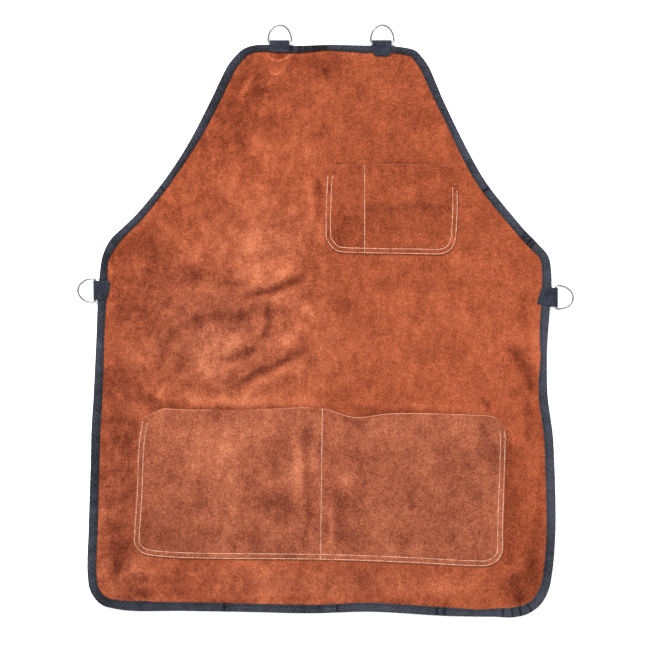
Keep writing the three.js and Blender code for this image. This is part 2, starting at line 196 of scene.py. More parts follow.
# Places where the tape's lap is wider or narrower, and where the tape is lighter or darker
TapeMark = namedtuple("TapeMark", "at x y half change")
TAPE_LAPS = table(TapeMark, 4, [
    ("bib top middle", -4.5, 360, 20, -1.5),
    ("bib top left", -42, 360, 10, 1),
    ("bib top right", 52, 360, 8, 1),
    ("bib left corner", -86, 359, 22, 0.3),
    ("bib right side, lower", 167, 263, 45, -1.8),
    ("left armhole, lower", -204, 193, 68, -2.4),
    ("right waist corner", 272, 104, 14, 0.9),
    ("left waist", -282, 106, 14, 1.2),
    ("left waist foot", -293.5, 78, 18, -2.6),
    ("left side, upper", -299, -24, 45, -1.5),
    ("right side", 290, -47, 25, -3.6),
    ("hem left corner", -240, -380, 18, 2),
    ("hem middle left", -90, -382, 50, -0.9),
    ("hem middle", 12, -383, 22, -0.7),
    ("hem right", 202, -388, 26, -2.3),
    ("right corner", 255, -387, 20, 1.4),
])
TAPE_TONES = table(TapeMark, 3, [
    ("bib left corner", -86, 359, 22, -0.6),
    ("bib left side", -128, 312, 32, -0.4),
    ("join ground", -26, 360, 20, -1),
    ("join start", -43.6, 360, 2.3, -2.6),
    ("join fold", -34, 360, 2, -1.6),
    ("join fold, second", -26.5, 360, 2, -1),
    ("join end", -8, 360, 7.5, -1.1),
    ("join end, left bar", -15.5, 360, 1.8, -2.4),
    ("join end, right bar", -1, 360, 2.1, -2.6),
    ("right of the join", 12.5, 360, 13, 0.6),
    ("right tab shade", 100, 357, 14, -0.6),
    ("bib right side", 134, 330, 30, -0.55),
    ("left armhole", -145, 289, 70, -0.5),
    ("right armhole", 247, 142, 34, 0.15),
    ("right waist shade", 266, 110, 8, -1.2),
    ("left waist shade", -291, 80, 26, -0.8),
    ("left side", -306, -190, 180, -0.35),
    ("right side light", 291, -25, 70, 0.75),
    ("right side, lower", 305, -220, 120, 0.3),
    ("hem left corner", -240, -380, 18, -0.4),
    ("left corner", -285, -365, 26, -0.6),
    ("hem middle left", -90, -382, 50, -0.45),
    ("hem middle right", 85, -383, 30, 0.35),
    ("hem right light", 175, -387, 28, 0.6),
])

# Creases: a bowed line with its half-width, the height of its ridge and how much lighter it is painted; the
# tone is mostly painted highlight and painted shade that deepen the fold's shading, partly crushed nap
Crease = namedtuple("Crease", "at x0 y0 x1 y1 bow half rise tone")
PANEL_CREASES = table(Crease, 7, [
    ("upper slant valley", -120, 33, -24, 54, -1, 5, -2, -0.7),
    ("upper slant foot", -112, 26, -40, 40, 0, 6, 1, 0.3),
    ("lower slant valley", -130, -88, -18, -38, -3, 5, -2, -0.7),
    ("lower slant foot", -116, -95, -40, -63, -3, 6, 1, 0.35),
    ("middle valley", -138, -54, -88, -34, 0, 6.5, -1.4, -0.5),
    ("upright valley", -80, 30, -83, -30, 5, 5.5, -1, -0.68),
    ("broad valley", -188, 0, -94, 4, 2, 10, -0.8, -0.66),
    ("upper blot", -150, 50, -96, 50, 1, 6, -0.8, -0.45),
    ("left streak", -192, -2, -224, -52, 2, 7.5, -0.8, -0.35),
    ("inner left streak", -188, -34, -196, -75, 0, 6.5, -0.8, -0.35),
    ("pale nick", -221, -107, -211.5, -88, 1, 2.5, 1, 0.95),
    ("right side valley", 236, -30, 276, -102, 5, 7, -1.2, -0.5),
    ("right side upper", 258, 40, 264, -30, 0, 6, -0.6, -0.25),
    ("right pocket corner nick", 202.5, -103, 216.5, -120, 0, 3.2, -0.8, -0.55),
    ("right strip nick", 262.5, -140, 265.5, -160, 0, 2.6, -0.6, -0.45),
    ("upper centre crease", -17, 195, -17, 130, 0, 6, 0.8, 0.35),
    # partly painted shade in the valley beside the chest pocket's left edge
    ("beside chest pocket", -6, 190, -6, 135, 0, 5, -0.6, -0.36),
    ("below chest pocket", -7.5, 135, -8.5, 70, 0, 5, 0.8, 0.3),
    ("middle centre crease", -6, 75, -5.5, -105, 1, 4, 0.7, 0.12),
    ("lower centre crease", 1.5, -325, 2, -372, 0, 2.6, -0.7, -0.35),
    ("left of lower centre", -15, -322, -14, -366, 0, 6, 0.7, 0.25),
    ("bib slant ridge", -93, 323, -118, 284, 0, 3, 1, 0.42),
    ("bib slant shade", -80, 325, -126, 240, 2, 7, -0.8, -0.22),
    ("bib slant lower ridge", -118, 268, -130, 235, 0, 5, 0.6, 0.2),
    ("under top left tab", -78.5, 350.2, -43.5, 350.2, -12.9, 1.3, 0.4, 0.9),
    ("under top left tab, second", -74, 329, -54.5, 329, -9, 1.4, 0.4, 0.7),
    ("right of top left tab", -52, 339, -35, 352, 0, 1.4, 0.4, 0.6),
    # painted shadow cast on the leather by the tab's sewn end
    ("top left tab end", -76, 351, -45, 351, -0.6, 1.6, -0.2, -0.8),
    ("bib level line", -128, 190.5, -30, 192, 0, 2.4, -0.4, -0.2),
    ("over right mouth", 4, -108.5, 200, -118, 3, 3, 0.6, 0.26),
    ("left lower fold", -272, -344, -242, -328, 3, 3.6, 1.4, 0.35),
    ("left lower fold shade", -258, -352, -232, -338, 3, 6, -0.8, -0.35),
    ("left strip streak", -272, -162, -271.5, -232, 0, 2.4, 0.5, 0.25),
    ("left strip streak, second", -281.5, -152, -281.5, -215, 0, 2.2, 0.4, 0.2),
    ("right corner hollow", 248, -330, 258, -372, 2, 9.5, -1.6, -0.6),
    ("right corner pit", 252.5, -362, 255.5, -373, 0, 4, -0.8, -0.45),
])
LOWER_CREASES = table(Crease, 7, [
    ("band left of divider", -12, -118, -13, -205, 0, 5.5, 0.5, 0.42),
    ("shade left of divider", -23.5, -135, -24.5, -312, 0, 6, -0.3, -0.28),
    ("ridge right of divider", 9.5, -240, 10, -306, 0, 2.8, 0.6, 0.35),
    ("shade right of divider", 20, -225, 19, -306, 0, 7, -0.2, -0.3),
    # partly painted shade on the slope below the lower pocket mouth's dip
    ("under the dip", 18, -124, 56, -146, 2, 6, -0.4, -0.45),
    ("right shoulder", 199, -133, 212, -156, 0, 4, -0.3, -0.35),
    ("left half slant", -128, -200, -116, -214, 0, 4, 0.4, 0.22),
])
CHEST_CREASES = table(Crease, 7, [
    ("level shade", 48, 144.5, 172, 150, -2, 6.5, -0.3, -0.32),
    ("slot level line", 8, 134, 46, 134, 0, 3.5, -0.2, -0.2),
    ("mouth nick", 88, 203.5, 92, 190, 0, 3, 0.3, 0.22),
])

# Patches of lighter or darker nap, partly painted highlight and painted shade where folds face towards or
# away from the light: middle, half-length, half-width, tone, and direction in degrees
Patch = namedtuple("Patch", "at x y long wide tone angle", defaults=[0])
PANEL_PATCHES = table(Patch, 4, [
    ("above upper fold", -83, 68, 36, 13, 0.45, 12),
    ("ridge of upper fold", -57, 58, 17, 8, 0.85, 16),
    ("below upper fold", -62, 30, 18, 8, 0.3, 15),
    ("upper left bright", -110, 104, 42, 21, 0.66, 4),
    ("beyond upper fold", -29, 14, 14, 11, 0.7),
    ("above lower fold", -44, -24, 26, 11, 0.55, 22),
    ("below lower fold", -66, -70, 36, 10, 0.42, 24),
    ("lower left bright", -137, -54, 30, 21, 0.72, 35),
    ("lower left slant bright", -163, -50, 27, 12, 0.48, -50),
    ("middle left bright", -138, -32, 32, 9, 0.25, 8),
    ("left of broad valley", -186, 6, 12, 10, -0.3),
    ("valley middle", -98, 12, 24, 10, -0.3, 35),
    ("below pale", -75, -104, 50, 8, 0.6),
    ("over left mouth bright", -160, -102, 46, 8, 0.8),
    ("left bright", -242, -38, 18, 26, 0.44),
    ("left dark", -232, -66, 16, 9, -0.3, 10),
    ("left spot dark", -230, -16, 10, 10, -0.44),
    ("left spot dark, second", -186, -12, 9, 12, -0.34),
    ("middle spot dark", -112, -11, 9, 10, -0.36),
    ("left lower dark", -258, -62, 22, 22, -0.36),
    ("over left corner dark", -240, -100, 34, 11, -0.34, -35),
    ("left of pocket dark", -285, -85, 12, 20, -0.2),
    ("left waist dark", -255, 90, 26, 20, -0.46, -20),
    ("waist upper dark", -252, 108, 14, 12, -0.36),
    ("waist middle dark", -203, 83, 9, 15, -0.36),
    ("waist edge dark", -274, 56, 22, 11, -0.3),
    ("left upper dark", -166, 61, 32, 11, -0.44, 4),
    ("left middle pale", -184, 40, 34, 12, 0.28),
    ("waist inner dark", -150, 76, 11, 24, -0.36),
    ("left armhole bright", -197, 118, 18, 10, 0.24, 20),
    ("bib left dark", -120, 232, 22, 14, -0.32, 50),
    ("bib left wide dark", -85, 272, 52, 62, -0.36),
    ("right middle wide pale", 160, 0, 110, 80, 0.22),
    ("bib middle pale", -80, 212, 36, 30, 0.4),
    ("bib spot dark", -33, 223, 11, 11, -0.34),
    ("left of chest pale", -48, 140, 20, 16, 0.26),
    ("bib top dark", 0, 336, 36, 13, -0.42),
    ("bib upper spot dark", 14, 321, 14, 12, -0.3),
    ("bib top pale", 52, 325, 12, 18, 0.3),
    ("bib bright", -12, 302, 30, 16, 0.3),
    ("bib right dark", 46, 298, 14, 20, -0.25),
    ("bib right corner dark", 126, 262, 20, 30, -0.22, 20),
    ("right of centre dark", 36, 19, 34, 14, -0.3, -8),
    ("right middle dark", 53, -10, 22, 14, -0.26),
    ("right middle shade", 196, 2, 10, 24, -0.34),
    ("right edge bright", 278, -30, 8, 42, 0.52),
    ("right edge nick dark", 267, -112, 7, 16, -0.42),
    ("right strip bright", 255, -145, 10, 44, 0.25),
    ("right strip edge dark", 278, -250, 10, 50, -0.3),
    ("right strip low dark", 242, -235, 16, 70, -0.4),
    ("right foot dark", 271, -322, 10, 24, -0.62),
    ("right corner dark", 250, -362, 18, 10, -0.4),
    ("hem middle dark", -13, -341, 18, 10, -0.44),
    ("hem middle dark, second", -40, -361, 14, 8, -0.44),
    ("hem left pale", -74, -359, 14, 9, 0.44),
    ("hem dark", 46, -338, 18, 16, -0.25),
    ("hem bright", 114, -351, 28, 12, 0.4),
    ("hem right bright", 165, -350, 24, 12, 0.36),
    ("hem right pale", 196, -346, 14, 14, 0.3),
    ("under pocket bright", -130, -319, 28, 8, 0.28),
    ("left foot dark", -285, -300, 12, 30, -0.3),
    ("left foot corner dark", -272, -330, 10, 16, -0.6),
    ("hem corner dark", -246, -358, 20, 9, -0.8),
    ("left foot slope dark", -234, -342, 10, 10, -0.45),
    ("left strip dark", -256, -152, 14, 22, -0.36),
    ("left strip middle dark", -254, -178, 10, 16, -0.38),
    ("left strip wide dark", -262, -230, 18, 110, -0.22),
    ("right armhole pale", 215, 118, 34, 16, 0.14, -10),
])
LOWER_PATCHES = table(Patch, 4, [
    ("left wide pale", -170, -160, 52, 36, 0.2),
    ("left low pale", -164, -196, 50, 12, 0.24),
    ("middle pale", -136, -158, 36, 22, 0.3),
    ("left grey", -200, -166, 12, 12, -0.22),
    ("beside divider pale", -66, -145, 10, 12, 0.22),
    ("upright pale", -34.5, -185, 9.5, 46, 0.72),
    ("low grey", -80, -240, 24, 14, -0.32, 20),
    ("low inner grey", -52, -250, 24, 24, -0.36),
    ("slant grey", -94, -210, 20, 12, -0.25, -40),
    ("inner grey", -64, -194, 16, 12, -0.28),
    ("foot grey", -150, -284, 60, 14, -0.28),
    ("left foot grey", -240, -270, 14, 34, -0.24),
    ("right mouth pale", 130, -136, 14, 11, 0.26),
    ("right corner pale", 222, -146, 8, 18, 0.26),
    ("right middle pale", 140, -172, 14, 22, 0.26),
    ("right upper pale", 117, -185, 26, 10, 0.34),
    ("right inner pale", 28, -212, 10, 26, 0.4),
    ("right inner grey", 32, -240, 16, 24, -0.36),
    ("right inner foot grey", 36, -285, 14, 13, -0.66),
    ("right foot grey", 96, -284, 20, 10, -0.28),
    ("right foot pale", 122, -294, 11, 14, 0.4),
    ("right side pale", 176, -236, 16, 24, 0.16),
])
CHEST_PATCHES = table(Patch, 4, [
    ("main right pale", 146, 180, 22, 12, 0.32),
    ("slot low dark", 22, 112, 18, 14, -0.3),
    ("main low pale", 108, 108, 30, 14, 0.2),
    ("main left dark", 66, 124, 16, 12, -0.2),
])

# Worn places of the panel, where the leather is dustier
PANEL_WEAR = table(Patch, 4, [
    ("left middle", -140, -20, 120, 100, 0.85),
    ("left strip", -270, -250, 50, 150, 0.6),
    ("hem", -20, -345, 220, 30, 0.55),
    ("left of chest pocket", -70, 110, 60, 50, 0.35),
])

# Pockets: rows of stitches that follow the outline, the divider's single row, and paler stretches of the edge
SeamRow = namedtuple("SeamRow", "at inset left_y right_y")
EdgeMark = namedtuple("EdgeMark", "at x y half pale")
PocketLook = namedtuple("PocketLook", "rows divider creases patches edges tone wear pale seed")
RIPPLE_SEED_STEP, EDGE_SEED_STEP = 5, 9  # added to a pocket's own seed
POCKETS = {
    "lower_pocket": PocketLook(
        rows=table(SeamRow, 3, [("outer", 1.8, -132.4, -144.4), ("inner", 7.8, -134, -144)]),
        divider=[millimetres(-4, -116), millimetres(-6.6, -312)],
        creases=LOWER_CREASES,
        patches=LOWER_PATCHES,
        edges=table(EdgeMark, 3, [
            ("left slant", -231, -123, 18, 0.55),
            ("left mouth middle", -112, -117, 40, -0.6),
            ("beside divider", -14, -116, 9, -0.45),
            ("right corner", 226, -138, 14, 0.4),
        ]),
        tone=0.03,
        wear=0.9,
        pale=0.62,
        seed=41,
    ),
    "chest_pocket": PocketLook(
        rows=table(SeamRow, 3, [("outer", 1.7, 189, 170), ("inner", 7.4, 188.5, 173.7)]),
        divider=[millimetres(51.2, 203), millimetres(51.2, 88.5)],
        creases=CHEST_CREASES,
        patches=CHEST_PATCHES,
        edges=table(EdgeMark, 3, [
            ("mouth middle", 110, 203, 30, -0.3),
            ("slot corner", 56, 203, 6, -0.4),
            ("right corner", 168, 196, 12, 0.45),
        ]),
        tone=-0.15,
        wear=0.0,
        pale=0.22,
        seed=57,
    ),
}

# Colours, as linear values
FRESH_STOPS = [
    (0.00, (0.053, 0.0089, 0.0032)),
    (0.25, (0.103, 0.0195, 0.0072)),
    (0.50, (0.176, 0.0376, 0.0147)),
    (0.75, (0.258, 0.0620, 0.0255)),
    (1.00, (0.350, 0.0975, 0.0440)),
]
WORN_STOPS = [
    (0.00, (0.049, 0.0100, 0.0045)),
    (0.25, (0.093, 0.0213, 0.0102)),
    (0.50, (0.163, 0.0433, 0.0217)),
    (0.75, (0.255, 0.0780, 0.0385)),
    (1.00, (0.357, 0.1330, 0.0690)),
]
RAW_EDGE_STOPS = [(0.20, (0.160, 0.0370, 0.0160)), (0.80, (0.370, 0.170, 0.110))]
TAPE_STOPS = [(0.00, (0.0030, 0.0035, 0.0050)), (1.00, (0.040, 0.043, 0.056))]
WEBBING_STOPS = [(0.00, (0.0020, 0.0025, 0.0040)), (1.00, (0.031, 0.036, 0.051))]
CREAM_STOPS = [(0.25, (0.270, 0.116, 0.073)), (0.75, (0.580, 0.350, 0.255))]
DARK_THREAD_STOPS = [(0.25, (0.004, 0.005, 0.007)), (0.75, (0.012, 0.014, 0.020))]
NICKEL = (0.17, 0.17, 0.175)
FLOOR, FLOOR_DIM = (0.93, 0.93, 0.93), 0.985


# Small sums on arrays

def fade(t):
    """0 below 0, 1 above 1, and smooth between them."""
    t = np.clip(t, 0.0, 1.0)
    return t * t * (3.0 - 2.0 * t)


def bell(distance, half):
    """1 at no distance, falling away on both sides."""
    return np.exp(-((distance / half) ** 2))


def turned(x, y, angle):
    """Distances along and across a direction."""
    c, s = math.cos(angle), math.sin(angle)
    return c * x + s * y, c * y - s * x


def unit(vectors):
    return vectors / np.linalg.norm(vectors, axis=-1, keepdims=True)


def between(lattice, u, v, eased=False):
    """Values at places between a lattice's points, with u and v counted in its cells."""
    i, j = u.astype(int), v.astype(int)
    s, t = u - i, v - j
    if eased:
        s, t = fade(s), fade(t)
    low = lattice[i, j] * (1 - s) + lattice[i + 1, j] * s
    high = lattice[i, j + 1] * (1 - s) + lattice[i + 1, j + 1] * s
    return low * (1 - t) + high * t


def value_noise(x, y, cell, seed):
    """Smooth random values from -1 to 1 that change over about one cell."""
    u, v = ((place + NOISE_REACH) / cell for place in turned(x, y, float(seed)))
    count = int(2 * NOISE_REACH / cell) + NOISE_MARGIN
    lattice = np.random.default_rng(seed).uniform(-1.0, 1.0, (count, count))
    return between(lattice, u, v, eased=True)


def mottling(x, y, seed):
    """Noise of several sizes together, each half as wide as the one before and weaker."""
    weights = [MOTTLE_GAIN**k for k in range(MOTTLE_OCTAVES)]
    layers = [w * value_noise(x, y, MOTTLE_CELL / 2**k, seed + k) for k, w in enumerate(weights)]
    return MOTTLE_SPREAD * sum(layers) / sum(weights)


def wandering(x, y, seed):
    """The points, each moved a little, so that lines drawn through them stray."""
    stray_x, stray_y = (WANDER * value_noise(x, y, WANDER_CELL, seed + k) for k in (0, 1))
    return x + stray_x, y + stray_y


def crease_strength(crease, x, y):
    """1 on a crease's line, fading across it and towards its ends."""
    step_x, step_y = crease.x1 - crease.x0, crease.y1 - crease.y0
    middle_x, middle_y = (crease.x0 + crease.x1) / 2, (crease.y0 + crease.y1) / 2
    along, across = turned(x - middle_x, y - middle_y, math.atan2(step_y, step_x))
    along = along / (math.hypot(step_x, step_y) / 2)
    across = across - crease.bow * (1 - along**2)
    return fade(CREASE_ENDING * (1 - np.abs(along))) * bell(across, crease.half)


def patch_strength(patch, x, y):
    """1 in the middle of a patch, fading all round."""
    along, across = turned(x - patch.x, y - patch.y, math.radians(patch.angle))
    return bell(along, patch.long) * bell(across, patch.wide)


def crease_height(creases, x, y, seed):
    x, y = wandering(x, y, seed)
    return sum(crease.rise * crease_strength(crease, x, y) for crease in creases)


def nap_and_shading_tone(creases, patches, x, y, seed):
    """How light the nap looks at each point, with painted highlight and painted shade along creases and on
    folds: 0 is its usual tone.
    """
    x, y = wandering(x, y, seed)
    lines = sum(crease.tone * crease_strength(crease, x, y) for crease in creases)
    clouds = sum(patch.tone * patch_strength(patch, x, y) for patch in patches)
    return NAP_AND_SHADING_CONTRAST * (lines + clouds)


# Reading the frame

def cad_triangles(node):
    mesh = frame["nodes"][node].data
    mesh.calc_loop_triangles()
    points = np.empty(3 * len(mesh.vertices), np.float32)
    mesh.vertices.foreach_get("co", points)
    corners = np.empty(3 * len(mesh.loop_triangles), np.int32)
    mesh.loop_triangles.foreach_get("vertices", corners)
    return points.reshape(-1, 3).astype(float), corners.reshape(-1, 3)


def plan_rim(node):
    """A sheet's outline in plan, counterclockwise. Its walls stand upright, so they show as lines."""
    points, corners = cad_triangles(node)
    plan, index = np.unique(np.round(points[:, :2], PLAN_DECIMALS), axis=0, return_inverse=True)
    links = defaultdict(set)
    for corner in index.reshape(-1)[corners]:
        ends = set(corner.tolist())
        if len(ends) == 2:
            a, b = ends
            links[a].add(b)
            links[b].add(a)
    walk = [min(links)]
    while True:
        onward = [k for k in sorted(links[walk[-1]]) if k not in walk[-2:]]
        if not onward or onward[0] == walk[0]:
            break
        walk.append(onward[0])
    rim = plan[walk]
    return rim if loop_area(rim) > 0 else rim[::-1]


grid_columns = np.arange(cad_low.x - FIELD_MARGIN, cad_high.x + FIELD_MARGIN, FIELD_CELL)
grid_rows = np.arange(cad_low.y - FIELD_MARGIN, cad_high.y + FIELD_MARGIN, FIELD_CELL)
GRID_X, GRID_Y = np.meshgrid(grid_columns, grid_rows, indexing="ij")


def cad_top(node):
    """Height of a node's upper side on the grid, and the grid points that it covers."""
    points, corners = cad_triangles(node)
    tree = BVHTree.FromPolygons(points.tolist(), corners.tolist())
    low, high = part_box(node)
    above, down = cad_high.z + FAR, Vector((0.0, 0.0, -1.0))
    heights = np.zeros_like(GRID_X)
    covered = np.zeros(GRID_X.shape, bool)
    over = (GRID_X > low.x) & (GRID_X < high.x) & (GRID_Y > low.y) & (GRID_Y < high.y)
    for i, j in np.argwhere(over):
        hit = tree.ray_cast(Vector((GRID_X[i, j], GRID_Y[i, j], above)), down)[0]
        if hit is not None:
            heights[i, j] = hit.z
            covered[i, j] = True
    return heights, covered


def smeared(field, width):
    """The field averaged over a bell of that width."""
    reach = int(math.ceil(SMEAR_WIDTHS * width / FIELD_CELL))
    weights = np.exp(-0.5 * (np.arange(-reach, reach + 1) * FIELD_CELL / width) ** 2)
    weights /= weights.sum()
    for axis in (0, 1):
        margins = [(reach, reach) if k == axis else (0, 0) for k in (0, 1)]
        padded = np.pad(field, margins, mode="edge")
        size = field.shape[axis]
        field = sum(w * np.take(padded, range(k, k + size), axis) for k, w in enumerate(weights))
    return field


def smoothed(field, width, covered):
    """The field averaged over the points that are covered, and carried on past their edge."""
    weight = smeared(covered.astype(float), width)
    return smeared(np.where(covered, field, 0.0), width) / np.maximum(weight, SMALLEST)


def read_field(field, x, y):
    u = np.clip((x - GRID_X[0, 0]) / FIELD_CELL, 0, field.shape[0] - LAST_CELL)
    v = np.clip((y - GRID_Y[0, 0]) / FIELD_CELL, 0, field.shape[1] - LAST_CELL)
    return between(field, u, v)


# Lines and grids of points

def line_lengths(points):
    steps = np.linalg.norm(np.diff(points, axis=0), axis=1)
    return np.concatenate([[0.0], np.cumsum(steps)])


def spaced(points, fractions):
    """Points at those fractions of a line's length."""
    run = line_lengths(points)
    goals = np.asarray(fractions) * run[-1]
    return np.stack([np.interp(goals, run, points[:, k]) for k in range(points.shape[1])], axis=1)


def smooth_line(before, here, after, beyond):
    """Smooth curve pieces between the points here and after, which may be unevenly spaced."""
    t = np.linspace(0.0, 1.0, LOOP_FINE, endpoint=False)[None, :, None]
    a, b, c, d = (p[:, None, :] for p in (before, here, after, beyond))
    gaps = [np.linalg.norm(q - p, axis=-1, keepdims=True) for p, q in ((a, b), (b, c), (c, d))]
    first, middle, last = (np.sqrt(np.maximum(gap, SMALLEST)) for gap in gaps)
    leave = c - b + middle * ((b - a) / first - (c - a) / (first + middle))
    arrive = c - b + middle * ((d - c) / last - (d - b) / (middle + last))
    curve = b + (c - b) * fade(t) + leave * t * (1 - t) ** 2 - arrive * t * t * (1 - t)
    return curve.reshape(-1, here.shape[1])


def smooth_loop(points, count):
    """A closed curve through the points, as evenly spaced ones."""
    curve = smooth_line(*(np.roll(points, k, axis=0) for k in (1, 0, -1, -2)))
    closed = np.concatenate([curve, curve[:1]])
    return spaced(closed, np.arange(count) / count)


def outward_of(loop):
    """Outward directions of a counterclockwise loop."""
    along = unit(np.roll(loop, -1, axis=0) - np.roll(loop, 1, axis=0))
    return np.stack([along[:, 1], -along[:, 0]], axis=1)


def loop_area(loop):
    x, y = loop.T
    return float(np.sum(x * np.roll(y, -1) - np.roll(x, -1) * y) / 2)


def graded(length, stops, fine, coarse, reach):
    """Fractions of a length, a fine step apart within reach of the stops and a coarse one elsewhere."""
    run = np.linspace(0.0, length, GRADED_STATIONS)
    near = np.max([bell(run - stop, reach) for stop in stops], axis=0)
    density = 1 / coarse + (1 / fine - 1 / coarse) * near
    total = np.concatenate([[0.0], np.cumsum((density[1:] + density[:-1]) / 2 * np.diff(run))])
    goals = np.linspace(0.0, total[-1], int(math.ceil(total[-1])) + 1)
    return np.interp(goals, total, run) / length


def loop_side(loop, start, end):
    """The points of a loop from one index to another, going round if need be."""
    count = (end - start) % len(loop) + 1
    return loop[(start + np.arange(count)) % len(loop)]


def patch_grid(loop, leans, us, vs):
    """A grid of points inside a loop, blended from its four sides between its corners."""
    x, y = loop.T
    foot_lean, top_lean = leans
    lower_left, lower_right = np.argmax(-foot_lean * x - y), np.argmax(foot_lean * x - y)
    upper_left, upper_right = np.argmax(-top_lean * x + y), np.argmax(top_lean * x + y)
    bottom = spaced(loop_side(loop, lower_left, lower_right), us)[:, None]
    right = spaced(loop_side(loop, lower_right, upper_right), vs)[None]
    top = spaced(loop_side(loop, upper_right, upper_left)[::-1], us)[:, None]
    left = spaced(loop_side(loop, upper_left, lower_left)[::-1], vs)[None]
    u, v = us[:, None, None], vs[None, :, None]
    low_corners = bottom[:1] * (1 - u) + bottom[-1:] * u
    high_corners = top[:1] * (1 - u) + top[-1:] * u
    corners = low_corners * (1 - v) + high_corners * v
    return bottom * (1 - v) + top * v + left * (1 - u) + right * u - corners


def circles(first, second, sides):
    """A unit circle at each point of a line, in the plane of two directions."""
    angles = 2 * math.pi * np.arange(sides)[:, None] / sides
    return np.cos(angles) * first[:, None] + np.sin(angles) * second[:, None]


# Meshes

def closed_sheet(upper, lower):
    """Points and faces of a sheet between two grids of points: upper, lower, then its walls."""
    columns, rows = upper.shape[:2]
    index = np.arange(columns * rows).reshape(columns, rows)
    quads = np.stack([index[:-1, :-1], index[1:, :-1], index[1:, 1:], index[:-1, 1:]], axis=-1)
    quads = quads.reshape(-1, 4)
    rim = np.concatenate([index[:-1, 0], index[-1, :-1], index[:0:-1, -1], index[0, :0:-1]])
    onward = np.roll(rim, -1)
    walls = np.stack([rim, rim + index.size, onward + index.size, onward], axis=-1)
    points = np.concatenate([upper.reshape(-1, 3), lower.reshape(-1, 3)])
    return points, np.concatenate([quads, quads[:, ::-1] + index.size, walls]).tolist()


def ring_quads(here, onward):
    """Faces between rings of points and the next rings along."""
    quads = np.stack([here, np.roll(here, -1, -1), np.roll(onward, -1, -1), onward], axis=-1)
    return quads.reshape(-1, 4).tolist()


def closed_tube(sections, looped):
    """Points and faces of a tube through sections, joined end to end or capped."""
    index = np.arange(sections.shape[0] * sections.shape[1]).reshape(sections.shape[:2])
    if looped:
        faces = ring_quads(index, np.roll(index, -1, axis=0))
    else:
        faces = ring_quads(index[:-1], index[1:]) + index[[0, -1]].tolist()
    return sections.reshape(-1, 3), faces


def linked(name, data):
    """A new object in the scene."""
    thing = bpy.data.objects.new(name, data)
    bpy.context.scene.collection.objects.link(thing)
    return thing


def add_piece(name, shape, materials, body="apron", face_materials=None, marks=None):
    """A new piece of the object, shaded smooth, with its faces pointing out."""
    points, faces = shape
    mesh = bpy.data.meshes.new(name)
    mesh.from_pydata(points.tolist(), [], faces)
    for material in materials:
        mesh.materials.append(material)
    if face_materials is not None:
        mesh.polygons.foreach_set("material_index", np.asarray(face_materials, np.int32))
    for mark, values in (marks or {}).items():
        layer = mesh.attributes.new(mark, "FLOAT", "POINT")
        layer.data.foreach_set("value", np.asarray(values, np.float32).ravel())
    edit = bmesh.new()
    edit.from_mesh(mesh)
    bmesh.ops.recalc_face_normals(edit, faces=edit.faces)
    edit.to_mesh(mesh)
    edit.free()
    mesh.polygons.foreach_set("use_smooth", np.ones(len(mesh.polygons), bool))
    mesh.set_sharp_from_angle(angle=SHARP_EDGE)
    piece = linked(name, mesh)
    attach(piece, body)
    return piece


def stitch_ends(line):
    """Where the thread comes up and goes down again, along a line of points."""
    length = line_lengths(line)[-1]
    count = max(1, round(length / STITCH_PITCH))
    starts = np.arange(count) / count
    gap = STITCH_GAP / length / 2
    return spaced(line, starts + gap), spaced(line, starts + 1 / count - gap)


def stitches(lines, radius):
    """Points and faces of rows of stitches, each one a short bent thread."""
    start, end = (np.concatenate(points) for points in zip(*(stitch_ends(line) for line in lines)))
    along = unit(end - start)
    side = unit(np.cross([0.0, 0.0, 1.0], along))
    up = np.cross(along, side)
    start, end = start + STITCH_SLANT * side, end - STITCH_SLANT * side
    t = np.linspace(0.0, 1.0, STITCH_POINTS)[None, :, None]
    arch = np.sin(math.pi * t)
    lift = radius * (STITCH_ARCH * arch - STITCH_SINK)
    middle = start[:, None] * (1 - t) + end[:, None] * t + lift * up[:, None]
    thick = (radius * (STITCH_END + (1 - STITCH_END) * arch))[..., None]
    points = middle[:, :, None] + thick * circles(side, up, STITCH_SIDES)[:, None]
    index = np.arange(points.size // 3).reshape(points.shape[:3])
    caps = np.concatenate([index[:, 0], index[:, -1]]).tolist()
    return points.reshape(-1, 3), ring_quads(index[:, :-1], index[:, 1:]) + caps


# Materials

